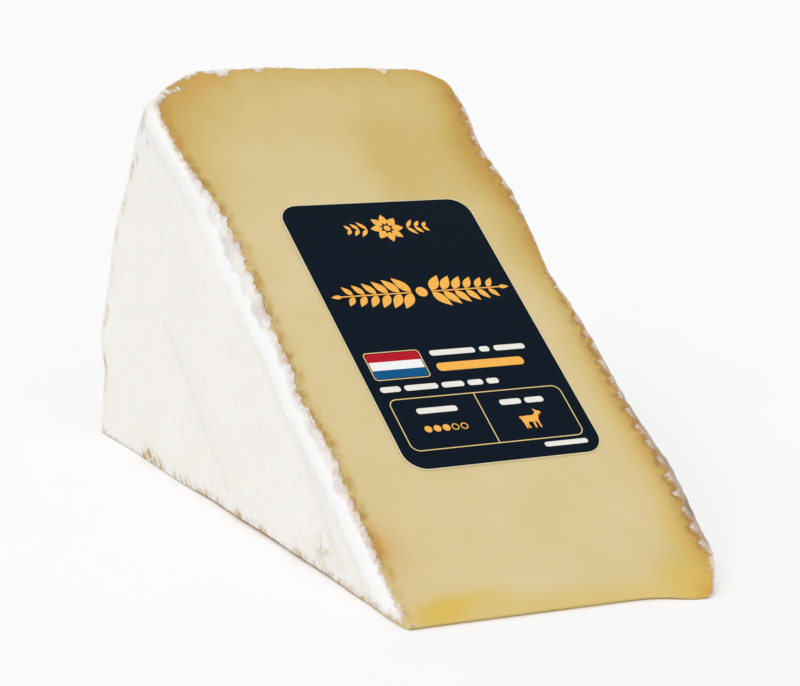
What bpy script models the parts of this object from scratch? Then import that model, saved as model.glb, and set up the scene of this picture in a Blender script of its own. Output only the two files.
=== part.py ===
"""A wedge of soft white-rinded goat cheese, lying on one of its two cut faces, with a dark label
stuck on the other.

The wedge is a slice of a low round wheel. The wheel's axis lies along X, the wedge's thin end
points to -Y and the wheel's rim to +Y. Metres, +Z up; the origin is on the resting face, below
the middle of the wedge's box.
"""

import math

import bmesh
import bpy
from mathutils import Matrix, Vector, noise

MM = 0.001

# The wheel, and the slice cut from it
WHEEL_RADIUS = 100.8 * MM
WHEEL_HEIGHT = 48.7 * MM
WEDGE_ANGLE = math.radians(34.34)
LEFT_CORNER = 3.6 * MM
RIGHT_CORNER = 4.5 * MM

# The thin end: a blunt nose at the end of the upper cut face, rounded down to the resting face
NOSE_HEIGHT = 0.5 * MM
NOSE_LENGTH = 2.6 * MM

# The label on the upper cut face
LABEL_WIDTH = 31.0 * MM
LABEL_LENGTH = 48.4 * MM
LABEL_CORNER = 3.2 * MM
LABEL_THICKNESS = 0.3 * MM
LABEL_GAP = 0.3 * MM
LABEL_SIDE = 0.7 * MM
LABEL_ALONG = 48.75 * MM
LABEL_TURN = math.radians(0.9)

# How finely the wedge is divided: across the wheel, along the cut, and around the wheel's axis
CORNER_STEPS = 3
MIDDLE_STEPS = 14
ROWS = 62
LAYERS = 20
LAYER_BIAS = 1.25
LABEL_CORNER_STEPS = 6

# Swells of each rind's edge along the upper cut: distance from the thin end, rise, reach
LEFT_SWELLS = (
    (94.0 * MM, 2.0 * MM, 13.0 * MM),
    (69.0 * MM, -0.7 * MM, 9.0 * MM),
    (40.0 * MM, 1.0 * MM, 5.0 * MM),
    (8.0 * MM, 0.7 * MM, 12.0 * MM),
)
RIGHT_SWELLS = (
    (93.0 * MM, 0.5 * MM, 5.0 * MM),
    (84.0 * MM, -0.5 * MM, 5.0 * MM),
    (74.0 * MM, 0.4 * MM, 4.0 * MM),
    (58.0 * MM, -1.1 * MM, 6.0 * MM),
    (19.0 * MM, 1.0 * MM, 8.0 * MM),
)
SWELL_DEPTH = 8.0 * MM

# The rind's thick lip just below the upper cut
LIP_DEPTH = 2.6 * MM
LIP_REACH = 1.8 * MM
LIP_RISE = 0.55 * MM
LIP_START = 3.0 * MM
LIP_FULL = 24.0 * MM
LIP_EDGE_REACH = 1.0 * MM
LIP_EDGE_DROP = 0.5 * MM
LIP_CREASE_DEPTH = 6.2 * MM
LIP_CREASE_REACH = 1.5 * MM
LIP_CREASE_DROP = 0.2 * MM

# Creases in the left rind: start and end as (along the base, height), half-width, drop
LEFT_CREASES = (
    ((74.3 * MM, 21.1 * MM), (51.6 * MM, 3.2 * MM), 1.0 * MM, 0.2 * MM),
    ((32.0 * MM, 13.9 * MM), (19.5 * MM, 2.2 * MM), 1.0 * MM, 0.2 * MM),
)

# Places where the corner between rind and rim is pressed in: reach across, depth of the press
TOP_PRESS = 3.9 * MM
TOP_PRESS_ACROSS = 9.0 * MM
TOP_PRESS_DEPTH = 4.5 * MM
BASE_PRESS = 3.0 * MM
BASE_PRESS_ACROSS = 9.0 * MM
BASE_PRESS_LOW = 9.0 * MM
BASE_PRESS_HIGH = 15.0 * MM

# The rim bulges between the wheel's two flat sides, and all of the rind is a little uneven
RIM_BULGE = 0.4 * MM
UNEVEN_SIZE = 13.0 * MM
UNEVEN_SIDES = 0.35 * MM
UNEVEN_RIM = 0.6 * MM
LEFT_SEED = 3.0
RIGHT_SEED = 7.0
RIM_SEED = 11.0

# The thin end's right corner is worn round, and beside it the nose bulges and droops
TIP_ROUND_LENGTH = 7.0 * MM
TIP_ROUND_DROP = 4.0 * MM
TIP_BULGE = 2.2 * MM
TIP_BULGE_SIDE = 18.0 * MM
TIP_BULGE_REACH = 4.5 * MM
TIP_BULGE_LENGTH = 6.0 * MM

# Edges of the cut faces: the rind stands a little proud above, and curls up off the table below
EDGE_BAND = 1.4 * MM
UPPER_EDGE_RISE = 0.3 * MM
LOWER_EDGE_LIFT = 0.25 * MM
ARCH_LIFT = 0.9 * MM
ARCH_PLACE = 39.0 * MM
ARCH_REACH = 22.0 * MM

QUARTER_TURN = math.radians(90.0)
SHARP_ANGLE = math.radians(40.0)
CUT_FACING = 0.9
TINY = 1e-7
WELD = 1e-5

PASTE_COLOUR = (0.71, 0.60, 0.32, 1.0)
PASTE_ROUGHNESS = 0.45
RIND_COLOUR = (0.89, 0.88, 0.85, 1.0)
RIND_ROUGHNESS = 0.9
LABEL_COLOUR = (0.004, 0.010, 0.020, 1.0)
LABEL_ROUGHNESS = 0.4


def clear_scene():
    for thing in list(bpy.data.objects):
        bpy.data.objects.remove(thing, do_unlink=True)


def make_material(name, colour, roughness):
    material = bpy.data.materials.new(name)
    material.use_nodes = True
    shader = material.node_tree.nodes["Principled BSDF"]
    shader.inputs["Base Color"].default_value = colour
    shader.inputs["Roughness"].default_value = roughness
    shader.inputs["Metallic"].default_value = 0.0
    return material


def swell(distance, reach):
    """Give 1 at no distance, falling smoothly to nothing well past the reach."""
    return math.exp(-((distance / reach) ** 2))


def ramp(value, start, end):
    """Give 0 up to the start and 1 from the end, with a smooth slope between."""
    part = min(max((value - start) / (end - start), 0.0), 1.0)
    return part * part * (3.0 - 2.0 * part)


def uneven(x, y, z, seed):
    return noise.noise(Vector((x, y, z)) / UNEVEN_SIZE + Vector((seed, 0.0, 0.0)))


def total_swell(along, swells):
    return sum(rise * swell(along - place, reach) for place, rise, reach in swells)


def lip(along, depth):
    """Give the lip's height at a depth below the upper cut. It dies out towards the thin end."""
    height = LIP_RISE * ramp(along, LIP_START, LIP_FULL) * swell(depth - LIP_DEPTH, LIP_REACH)
    height -= LIP_EDGE_DROP * swell(depth, LIP_EDGE_REACH)
    height -= LIP_CREASE_DROP * swell(depth - LIP_CREASE_DEPTH, LIP_CREASE_REACH)
    return height


def crease(y, z, start, end, reach, drop):
    """Give the drop at (y, z) of a crease that runs between two points."""
    run = Vector(end) - Vector(start)
    offset = Vector((y, z)) - Vector(start)
    part = min(max(offset.dot(run) / run.length_squared, 0.0), 1.0)
    distance = (offset - part * run).length
    return drop * swell(distance, reach)


def left_reach(y, z, along, depth):
    """Give how far the left rind lies from the wheel's middle plane."""
    reach = WHEEL_HEIGHT / 2 + total_swell(along, LEFT_SWELLS) * swell(depth, SWELL_DEPTH)
    reach += lip(along, depth)
    reach += UNEVEN_SIDES * uneven(0.0, y, z, LEFT_SEED)
    for start, end, half_width, drop in LEFT_CREASES:
        reach -= crease(y, z, start, end, half_width, drop)
    return reach


def right_reach(y, z, along, depth):
    """Give how far the right rind lies from the wheel's middle plane."""
    reach = WHEEL_HEIGHT / 2 + total_swell(along, RIGHT_SWELLS) * swell(depth, SWELL_DEPTH)
    reach += lip(along, depth)
    reach += UNEVEN_SIDES * uneven(0.0, y, z, RIGHT_SEED)
    worn = 1.0 - ramp(math.hypot(y, z), 0.0, TIP_ROUND_LENGTH)
    return reach - TIP_ROUND_DROP * worn


def rim_radius(x, y, z, depth):
    """Give the wheel's radius at a place, with the rim's bulge and its two pressed corners."""
    half = WHEEL_HEIGHT / 2
    radius = WHEEL_RADIUS + RIM_BULGE * (1.0 - (x / half) ** 2)
    radius += UNEVEN_RIM * uneven(x, y, z, RIM_SEED)
    at_top = 1.0 - ramp(x + half, 0.0, TOP_PRESS_ACROSS)
    radius -= TOP_PRESS * at_top * swell(depth, TOP_PRESS_DEPTH)
    at_base = 1.0 - ramp(x + half, 0.0, BASE_PRESS_ACROSS)
    radius -= BASE_PRESS * at_base * (1.0 - ramp(z, BASE_PRESS_LOW, BASE_PRESS_HIGH))
    return radius


def wedge_point(x, radius, angle):
    """Move a point of the plain wedge to its place on the uneven one."""
    at_nose = radius < TINY
    if at_nose:
        radius = NOSE_HEIGHT / math.sin(WEDGE_ANGLE)
        angle = WEDGE_ANGLE
    y = radius * math.cos(angle)
    z = radius * math.sin(angle)
    along = radius * math.cos(WEDGE_ANGLE - angle)
    depth = radius * math.sin(WEDGE_ANGLE - angle)

    share = x / (WHEEL_HEIGHT / 2)
    side_reach = left_reach(y, z, along, depth) if share < 0.0 else right_reach(y, z, along, depth)
    scale = rim_radius(x, y, z, depth) / WHEEL_RADIUS
    moved = Vector((share * side_reach, y * scale, z * scale))

    bulge = (1.0 - ramp(radius, 0.0, TIP_BULGE_LENGTH)) * swell(
        moved.x - TIP_BULGE_SIDE, TIP_BULGE_REACH
    )
    moved.y -= TIP_BULGE * bulge
    if at_nose:
        moved.z -= NOSE_HEIGHT * bulge
        return moved

    edge = ramp(abs(moved.x), side_reach - EDGE_BAND, side_reach)
    if angle > WEDGE_ANGLE - TINY:
        normal = Vector((0.0, -math.sin(WEDGE_ANGLE), math.cos(WEDGE_ANGLE)))
        moved += normal * UPPER_EDGE_RISE * edge
    elif angle < TINY:
        rim_edge = ramp(radius, WHEEL_RADIUS - EDGE_BAND, WHEEL_RADIUS)
        moved.z += LOWER_EDGE_LIFT * max(edge, rim_edge)
        if share < 0.0:
            moved.z += ARCH_LIFT * edge * swell(moved.y - ARCH_PLACE, ARCH_REACH)
    return moved


def section_columns():
    """List the section's columns: place across the wheel, and the radius that each reaches."""
    half = WHEEL_HEIGHT / 2
    left = []
    right = []
    for step in range(CORNER_STEPS + 1):
        turn = QUARTER_TURN * step / CORNER_STEPS
        across = 1.0 - math.cos(turn)
        down = 1.0 - math.sin(turn)
        left.append((LEFT_CORNER * across - half, WHEEL_RADIUS - LEFT_CORNER * down))
        right.append((half - RIGHT_CORNER * across, WHEEL_RADIUS - RIGHT_CORNER * down))
    start = left[-1][0]
    end = right[-1][0]
    middle = []
    for step in range(1, MIDDLE_STEPS):
        middle.append((start + (end - start) * step / MIDDLE_STEPS, WHEEL_RADIUS))
    return left + middle + right[::-1]


def row_share(row):
    """Give a row's radius as a share of its column: the nose, then even steps to the rim."""
    nose = NOSE_LENGTH / WHEEL_RADIUS
    if row == 0:
        return 0.0
    return nose + (1.0 - nose) * (row - 1) / (ROWS - 1)


def make_section(mesh):
    """Draw the wheel's half section, a grid of columns and rows, flat in the base plane."""
    columns = section_columns()
    last_column = len(columns) - 1
    bmesh.ops.create_grid(mesh, x_segments=last_column, y_segments=ROWS, size=0.5)
    for vert in mesh.verts:
        x, reach = columns[round((vert.co.x + 0.5) * last_column)]
        share = row_share(round((vert.co.y + 0.5) * ROWS))
        vert.co = Vector((x, share * reach, 0.0))


def flatten_base(mesh):
    """Join the faces of the resting face that lie flat on the ground into one."""
    flat = [face for face in mesh.faces if all(abs(vert.co.z) < TINY for vert in face.verts)]
    bmesh.ops.dissolve_faces(mesh, faces=flat, use_verts=False)


def make_wedge(paste, rind):
    mesh = bmesh.new()
    make_section(mesh)
    bmesh.ops.spin(
        mesh,
        geom=mesh.verts[:] + mesh.edges[:] + mesh.faces[:],
        cent=(0.0, 0.0, 0.0),
        axis=(1.0, 0.0, 0.0),
        angle=WEDGE_ANGLE,
        steps=LAYERS,
    )
    bmesh.ops.remove_doubles(mesh, verts=mesh.verts[:], dist=WELD)

    for vert in mesh.verts:
        x, y, z = vert.co
        angle = math.atan2(z, y)
        share = min(max(angle / WEDGE_ANGLE, 0.0), 1.0)
        spread = 1.0 - (1.0 - share) ** LAYER_BIAS
        vert.co = wedge_point(x, math.hypot(y, z), WEDGE_ANGLE * spread)
    bmesh.ops.recalc_face_normals(mesh, faces=mesh.faces[:])
    flatten_base(mesh)

    upper = Vector((0.0, -math.sin(WEDGE_ANGLE), math.cos(WEDGE_ANGLE)))
    mesh.normal_update()
    for face in mesh.faces:
        cut = face.normal.dot(upper) > CUT_FACING or face.normal.z < -CUT_FACING
        face.material_index = 0 if cut else 1
        face.smooth = True

    data = bpy.data.meshes.new("cheese_wedge")
    mesh.to_mesh(data)
    mesh.free()
    data.set_sharp_from_angle(angle=SHARP_ANGLE)
    data.materials.append(paste)
    data.materials.append(rind)
    wedge = bpy.data.objects.new("cheese_wedge", data)
    bpy.context.collection.objects.link(wedge)
    return wedge


def rounded_outline(width, length, corner, steps):
    """List the points of a rectangle with round corners, anticlockwise."""
    points = []
    for quarter, (side, end) in enumerate(((1, 1), (-1, 1), (-1, -1), (1, -1))):
        centre = Vector((side * (width / 2 - corner), end * (length / 2 - corner), 0.0))
        for step in range(steps + 1):
            turn = QUARTER_TURN * (quarter + step / steps)
            points.append(centre + corner * Vector((math.cos(turn), math.sin(turn), 0.0)))
    return points


def make_label(material):
    mesh = bmesh.new()
    outline = rounded_outline(LABEL_WIDTH, LABEL_LENGTH, LABEL_CORNER, LABEL_CORNER_STEPS)
    turned = Matrix.Rotation(LABEL_TURN, 3, "Z")
    sheet = mesh.faces.new([mesh.verts.new(turned @ point) for point in outline])
    raised = bmesh.ops.extrude_face_region(mesh, geom=[sheet])["geom"]
    top = [item for item in raised if isinstance(item, bmesh.types.BMVert)]
    bmesh.ops.translate(mesh, verts=top, vec=(0.0, 0.0, LABEL_THICKNESS))
    bmesh.ops.recalc_face_normals(mesh, faces=mesh.faces[:])

    data = bpy.data.meshes.new("label")
    mesh.to_mesh(data)
    mesh.free()
    data.materials.append(material)
    label = bpy.data.objects.new("label", data)
    bpy.context.collection.objects.link(label)
    label.rotation_euler = (WEDGE_ANGLE, 0.0, 0.0)
    label.location = (
        LABEL_SIDE,
        LABEL_ALONG * math.cos(WEDGE_ANGLE) - LABEL_GAP * math.sin(WEDGE_ANGLE),
        LABEL_ALONG * math.sin(WEDGE_ANGLE) + LABEL_GAP * math.cos(WEDGE_ANGLE),
    )
    return label


def stand_on_origin(wedge, pieces):
    """Hang the pieces on an empty that sets the middle of the wedge's box over the origin."""
    xs = [vert.co.x for vert in wedge.data.vertices]
    ys = [vert.co.y for vert in wedge.data.vertices]
    zs = [vert.co.z for vert in wedge.data.vertices]
    holder = bpy.data.objects.new("wedge_origin", None)
    bpy.context.collection.objects.link(holder)
    holder.location = (-(min(xs) + max(xs)) / 2, -(min(ys) + max(ys)) / 2, -min(zs))
    for piece in pieces:
        piece.parent = holder


def main():
    clear_scene()
    paste = make_material("paste", PASTE_COLOUR, PASTE_ROUGHNESS)
    rind = make_material("rind", RIND_COLOUR, RIND_ROUGHNESS)
    dark_print = make_material("label", LABEL_COLOUR, LABEL_ROUGHNESS)
    wedge = make_wedge(paste, rind)
    label = make_label(dark_print)
    stand_on_origin(wedge, (wedge, label))


main()
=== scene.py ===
"""The looks of a wedge of soft white-rinded goat cheese with a dark printed label.

Shapes are worked out in millimetres in the wheel's own frame: X across the wheel, Y from the
sharp corner that the two cut faces would meet in towards the rim, +Z up from the resting face.
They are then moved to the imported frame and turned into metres. "along" is the distance from that
corner down the upper cut face, and "depth" is the distance below the plane of that face.
"""

import math

import bmesh
import bpy
import numpy as np
from mathutils import Matrix, Vector, noise


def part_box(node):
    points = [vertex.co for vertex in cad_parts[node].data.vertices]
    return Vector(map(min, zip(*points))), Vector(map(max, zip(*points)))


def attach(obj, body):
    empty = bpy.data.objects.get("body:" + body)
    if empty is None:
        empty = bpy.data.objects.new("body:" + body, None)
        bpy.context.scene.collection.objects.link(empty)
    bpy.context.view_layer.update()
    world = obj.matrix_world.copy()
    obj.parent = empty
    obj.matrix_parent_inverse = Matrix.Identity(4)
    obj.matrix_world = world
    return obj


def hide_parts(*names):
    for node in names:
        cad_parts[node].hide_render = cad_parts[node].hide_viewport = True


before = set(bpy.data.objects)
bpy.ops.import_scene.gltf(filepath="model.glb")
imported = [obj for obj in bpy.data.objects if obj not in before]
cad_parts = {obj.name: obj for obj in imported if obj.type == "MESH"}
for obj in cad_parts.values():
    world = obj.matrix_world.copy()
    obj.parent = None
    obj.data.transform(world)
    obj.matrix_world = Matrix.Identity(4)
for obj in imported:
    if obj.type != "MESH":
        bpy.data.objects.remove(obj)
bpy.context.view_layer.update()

MM = 0.001

# The wheel and the slice, as the solid has them
WHEEL_RADIUS = 100.8
WHEEL_HEIGHT = 48.7
HALF = WHEEL_HEIGHT / 2
ANGLE = math.radians(34.34)
LEFT_CORNER = 3.6
RIGHT_CORNER = 4.5
NOSE_HEIGHT = 0.5
NOSE_LENGTH = 2.6
NOSE_REACH = NOSE_HEIGHT / math.sin(ANGLE)
NOSE_FOOT = 0.95

# The sides' swells: place along, rise, reach
LEFT_SWELLS = ((94.0, 2.0, 13.0), (69.0, -0.7, 9.0), (40.0, 1.0, 5.0), (8.0, 0.7, 12.0))
RIGHT_SWELLS = (
    (93.0, 0.5, 5.0), (84.0, -0.5, 5.0), (74.0, 0.4, 4.0), (58.0, -1.1, 6.0), (19.0, 1.0, 8.0),
)
SWELL_DEPTH = 8.0

LIP_DEPTH = 2.6
# Each side's lip: how far it rises, and how far it reaches from its middle
LEFT_LIP = (0.3, 2.6)
RIGHT_LIP = (0.55, 1.8)
LIP_START = 3.0
LIP_FULL = 24.0
LIP_EDGE_REACH = 1.0
LIP_EDGE_DROP = 0.5
LIP_CREASE_DEPTH = 6.2
LIP_CREASE_REACH = 1.5
LIP_CREASE_DROP = 0.2

# Creases in the left rind: start and end as (y, z), half-width, drop
CREASES = (
    ((74.3, 21.1), (51.6, 3.2), 0.9, 0.15),
    ((32.0, 13.9), (19.5, 2.2), 1.0, 0.2),
    ((32.9, 4.1), (30.1, 1.9), 0.3, 0.2),
)

TOP_PRESS = 3.9
TOP_PRESS_ACROSS = 9.0
TOP_PRESS_DEPTH = 4.5
BASE_PRESS = 3.0
BASE_PRESS_ACROSS = 9.0
BASE_PRESS_LOW = 9.0
BASE_PRESS_HIGH = 15.0
RIM_BULGE = 0.4
UNEVEN_SIZE = 13.0
UNEVEN_SIDES = 0.35
UNEVEN_RIM = 0.6

# How the thin end's right corner is worn off: over which length, and how far
TIP_WEAR = ((7.4, 5.4), (2.6, 1.5))
TIP_BULGE = 2.2
TIP_BULGE_SIDE = 18.0
TIP_BULGE_REACH = 4.5
TIP_BULGE_LENGTH = 6.0

EDGE_BAND = 1.4
LEFT_EDGE_RISE = 0.08
RIGHT_EDGE_RISE = 0.3
LOWER_EDGE_LIFT = 0.04
LOWER_BAND = 0.7
ARCH_LIFT = 0.45
ARCH_PLACE = 39.0
ARCH_REACH = 22.0

# The label
LABEL_WIDTH = 31.0
LABEL_LENGTH = 48.4
LABEL_CORNER = 3.2
LABEL_SIDE = 0.7
LABEL_ALONG = 48.75
LABEL_TURN = math.radians(0.9)
LABEL_MARGIN = 2.0

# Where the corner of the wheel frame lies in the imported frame
APEX_SIDE = 0.4245
APEX_BEHIND_LOW = 1.328

# How finely the surface is divided
CORNER_STEPS = 14
MIDDLE_STEPS = 68
ROWS = 284
LAYERS = 90
LAYER_CROWD = 0.6
BASE_BAND_COLUMNS = 13
BASE_NEAR_ROWS = 8
BASE_FAR_ROWS = 5


def swell(distance, reach):
    """Give 1 at no distance, falling smoothly to nothing well past the reach."""
    return np.exp(-((distance / reach) ** 2))


def ramp(value, start, end):
    """Give 0 up to the start and 1 from the end, with a smooth slope between."""
    part = np.clip((value - start) / (end - start), 0.0, 1.0)
    return part * part * (3.0 - 2.0 * part)


def noise_at(x, y, z, size, seed):
    """Give smooth noise, from about -1 to 1, at each place. Each use has a seed of its own."""
    places = np.stack((x / size + seed, y / size, z / size), axis=-1).tolist()
    return np.array([noise.noise(place) for place in places])


def fractal_at(x, y, z, size, seed, octaves=4):
    """Give noise with finer noise on it at each place."""
    places = np.stack((x / size + seed, y / size, z / size), axis=-1).tolist()
    return np.array([noise.fractal(place, 0.9, 2.0, octaves) for place in places])


def total_swell(along, swells):
    """Add up swells of a side, each given as its place along, its rise and its reach."""
    return sum(rise * swell(along - place, reach) for place, rise, reach in swells)


def lip(along, depth, rise, reach):
    """Give the height of the rind's thick lip below the upper cut."""
    height = rise * ramp(along, LIP_START, LIP_FULL) * swell(depth - LIP_DEPTH, reach)
    height -= LIP_EDGE_DROP * swell(depth, LIP_EDGE_REACH)
    height -= LIP_CREASE_DROP * swell(depth - LIP_CREASE_DEPTH, LIP_CREASE_REACH)
    return height


def off_line(u, v, start, end):
    """Give the distance to a line between two points, and the share of the way along it."""
    run_u, run_v = end[0] - start[0], end[1] - start[1]
    off_u, off_v = u - start[0], v - start[1]
    part = np.clip((off_u * run_u + off_v * run_v) / (run_u**2 + run_v**2), 0.0, 1.0)
    return np.hypot(off_u - part * run_u, off_v - part * run_v), part


def crease(y, z, start, end, reach):
    """Give 1 on the line of a crease that runs between two points, falling to 0 beside it."""
    return swell(off_line(y, z, start, end)[0], reach)


# Finer relief, which only the looks have
FUZZ = 0.04
FUZZ_SIZE = 1.6
PUCKER = 0.10
PUCKER_SIZE = 1.0
PUCKER_LENGTH = 4.0
PUCKER_DEPTH = 2.4
NIBBLE = 0.13
NIBBLE_SIZE = 1.5
NIBBLE_DEPTH = 0.8
RIM_WAVE = 0.22
RIM_WAVE_SIZE = 3.4
RIM_DETAIL_START = 0.9

# The rind's teeth along the right edge, in two runs: a place on a tooth, and their pitch
LOWER_TEETH = (51.4, 2.92)
UPPER_TEETH = (94.4, 3.12)
TEETH_MEET = 64.0
TOOTH_RISE = 0.08


def side_detail(y, z, along, depth, seed):
    """Give the fuzz of a side's rind, and the puckers and nibbled edge beside the upper cut."""
    flat = np.zeros_like(y)
    detail = FUZZ * fractal_at(flat, y, z, FUZZ_SIZE, seed)
    pucker = noise_at(flat, y / PUCKER_SIZE, z / PUCKER_LENGTH, 1.0, seed)
    detail += PUCKER * pucker * (1.0 - ramp(depth, 0.3, PUCKER_DEPTH))
    nibble = noise_at(flat, along, flat, NIBBLE_SIZE, seed + 5.0)
    detail += NIBBLE * nibble * swell(depth, NIBBLE_DEPTH)
    return detail * ramp(along, 1.0, 8.0)


def left_reach(y, z, along, depth):
    """Give how far the left rind lies from the wheel's middle plane."""
    reach = HALF + total_swell(along, LEFT_SWELLS) * swell(depth, SWELL_DEPTH)
    reach += lip(along, depth, *LEFT_LIP)
    reach += UNEVEN_SIDES * noise_at(np.zeros_like(y), y, z, UNEVEN_SIZE, 3.0)
    for start, end, half_width, drop in CREASES:
        reach -= drop * crease(y, z, start, end, half_width)
    return reach + side_detail(y, z, along, depth, 21.0)


def right_reach(y, z, along, depth):
    """Give how far the right rind lies from the wheel's middle plane."""
    reach = HALF + total_swell(along, RIGHT_SWELLS) * swell(depth, SWELL_DEPTH)
    reach += lip(along, depth, *RIGHT_LIP)
    reach += UNEVEN_SIDES * noise_at(np.zeros_like(y), y, z, UNEVEN_SIZE, 7.0)
    for length, drop in TIP_WEAR:
        reach -= drop * np.clip(1.0 - np.hypot(y, z) / length, 0.0, 1.0) ** 2
    return reach + side_detail(y, z, along, depth, 31.0)


def rim_radius(x, y, z, depth):
    """Give the wheel's radius at a place, with the rim's bulge and its two pressed corners."""
    radius = WHEEL_RADIUS + RIM_BULGE * (1.0 - (x / HALF) ** 2)
    radius += UNEVEN_RIM * noise_at(x, y, z, UNEVEN_SIZE, 11.0)
    at_top = 1.0 - ramp(x + HALF, 0.0, TOP_PRESS_ACROSS)
    radius -= TOP_PRESS * at_top * swell(depth, TOP_PRESS_DEPTH)
    at_base = 1.0 - ramp(x + HALF, 0.0, BASE_PRESS_ACROSS)
    radius -= BASE_PRESS * at_base * (1.0 - ramp(z, BASE_PRESS_LOW, BASE_PRESS_HIGH))
    return radius


def rim_detail(x, y, z, depth):
    """Give the fuzz of the rim, and its nibbled edge beside the upper cut."""
    detail = FUZZ * fractal_at(x, y, z, FUZZ_SIZE, 41.0)
    flat = np.zeros_like(x)
    wave = RIM_WAVE * noise_at(x, flat, flat, RIM_WAVE_SIZE, 45.0)
    wave += 0.12 * noise_at(x, flat, flat, 0.9, 47.0)
    return detail + wave * swell(depth, NIBBLE_DEPTH)


def tooth(along):
    """Give the rind's teeth along the right edge: each starts sharply at its upper end, and
    tapers away to 0 towards the next."""
    flat = np.zeros_like(along)
    shift = 0.4 * noise_at(flat, along, flat, 5.0, 51.0)
    place, pitch = (np.where(along < TEETH_MEET, *pair) for pair in zip(LOWER_TEETH, UPPER_TEETH))
    part = np.mod((place + 0.55 - along - shift) / pitch, 1.0)
    taper = np.clip(1.0 - part / 0.62, 0.0, 1.0) ** 0.8
    size = 1.0 + 0.5 * noise_at(flat, along, flat, 2.7, 53.0)
    return np.maximum(taper, ramp(part, 0.84, 1.0)) * size


# The rind along the right edge: place along, its width between two teeth, how far the teeth reach
RIGHT_RIND = (
    (0.0, 0.3, 0.0), (3.0, 0.45, 0.1), (5.0, 0.55, 0.25), (8.0, 0.75, 0.65), (12.0, 0.65, 0.75),
    (20.0, 0.8, 0.8), (27.0, 0.5, 0.55), (45.0, 0.3, 0.45), (54.0, 0.2, 0.42), (60.0, 0.0, 0.25),
    (67.0, 0.0, 0.2), (72.0, 0.2, 0.62), (94.0, 0.2, 0.62), (97.0, -0.4, 0.1),
)


def right_rind(along):
    """Give how wide the rind shows along the right edge, and how far its teeth reach."""
    places, widths, reaches = zip(*RIGHT_RIND)
    return np.interp(along, places, widths), np.interp(along, places, reaches)


def label_share(x, along):
    """Give 1 under the label and 0 away from it."""
    side = ramp(np.abs(x - LABEL_SIDE), LABEL_WIDTH / 2 + LABEL_MARGIN, LABEL_WIDTH / 2)
    end = ramp(np.abs(along - LABEL_ALONG), LABEL_LENGTH / 2 + LABEL_MARGIN, LABEL_LENGTH / 2)
    return side * end


def cut_relief(x, along, left, right):
    """Give the height of the upper cut's surface over its plane. left and right are the
    distances to its two long edges."""
    flat = np.zeros_like(x)
    height = 0.10 * noise_at(x, along, flat, 11.0, 61.0)
    height += 0.035 * fractal_at(x, along, flat, 3.0, 65.0, 3)
    drag = noise_at(x / 9.0, along, flat, 0.9, 71.0)
    height += 0.035 * drag * swell(along - 6.0, 4.0) * (1.0 - ramp(x, -2.0, 8.0))
    height += 0.012 * noise_at(x / 14.0, along, flat, 1.3, 75.0)
    height *= 1.0 - label_share(x, along)
    height += TOOTH_RISE * tooth(along) * swell(right - 0.9, 0.7)
    height += 0.10 * noise_at(x, along, flat, 1.4, 81.0) * (swell(left, 1.2) + swell(right, 1.4))
    return height * ramp(along, 1.5, 5.0)


def corner_columns():
    """List the section's columns: place across the wheel, and the radius each reaches."""
    turns = np.linspace(0.0, math.pi / 2, CORNER_STEPS + 1)
    left_x = LEFT_CORNER * (1.0 - np.cos(turns)) - HALF
    left_radius = WHEEL_RADIUS - LEFT_CORNER * (1.0 - np.sin(turns))
    right_x = HALF - RIGHT_CORNER * (1.0 - np.cos(turns))
    right_radius = WHEEL_RADIUS - RIGHT_CORNER * (1.0 - np.sin(turns))
    middle = np.linspace(left_x[-1], right_x[-1], MIDDLE_STEPS + 1)[1:-1]
    across = np.concatenate((left_x, middle, right_x[::-1]))
    full = np.full(len(middle), WHEEL_RADIUS)
    return across, np.concatenate((left_radius, full, right_radius[::-1]))


def surface_lattice(columns, rows, layers):
    """Number the lattice's surface points, and list its faces. The base is one flat face inside
    a band of small ones, and all layers meet in one line along the front edge."""
    on_surface = np.zeros((columns, rows, layers), bool)
    on_surface[(0, -1), :, :] = True
    on_surface[:, -1, :] = True
    on_surface[:, :, -1] = True
    band = np.zeros((columns, rows), bool)
    band[: BASE_BAND_COLUMNS + 1] = True
    band[-BASE_BAND_COLUMNS - 1 :] = True
    band[:, : BASE_NEAR_ROWS + 1] = True
    band[:, -BASE_FAR_ROWS - 1 :] = True
    on_surface[:, :, 0] |= band
    on_surface[:, 0, :-1] = False
    number = np.full((columns, rows, layers), -1)
    number[on_surface] = np.arange(on_surface.sum())
    number[:, 0, :] = number[:, 0, -1:]

    faces = []

    def add_sheet(grid, flip):
        quads = np.stack((grid[:-1, :-1], grid[1:, :-1], grid[1:, 1:], grid[:-1, 1:]), axis=-1)
        for quad in quads.reshape(-1, 4).tolist():
            corners = [point for place, point in enumerate(quad) if point != quad[place - 1]]
            faces.append(corners[::-1] if flip else corners)

    add_sheet(number[:, :, -1], False)
    add_sheet(number[0], True)
    add_sheet(number[-1], False)
    add_sheet(number[:, -1, :], True)

    base = number[:, :, 0]
    first, last = BASE_BAND_COLUMNS, columns - 1 - BASE_BAND_COLUMNS
    near, far = BASE_NEAR_ROWS, rows - 1 - BASE_FAR_ROWS
    add_sheet(base[: first + 1], True)
    add_sheet(base[last:], True)
    add_sheet(base[first : last + 1, : near + 1], True)
    add_sheet(base[first : last + 1, far:], True)
    loop = list(base[first:last, near]) + list(base[last, near:far])
    loop += list(base[last:first:-1, far]) + list(base[first, far:near:-1])
    faces.append([int(point) for point in loop][::-1])
    return on_surface, faces


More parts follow.
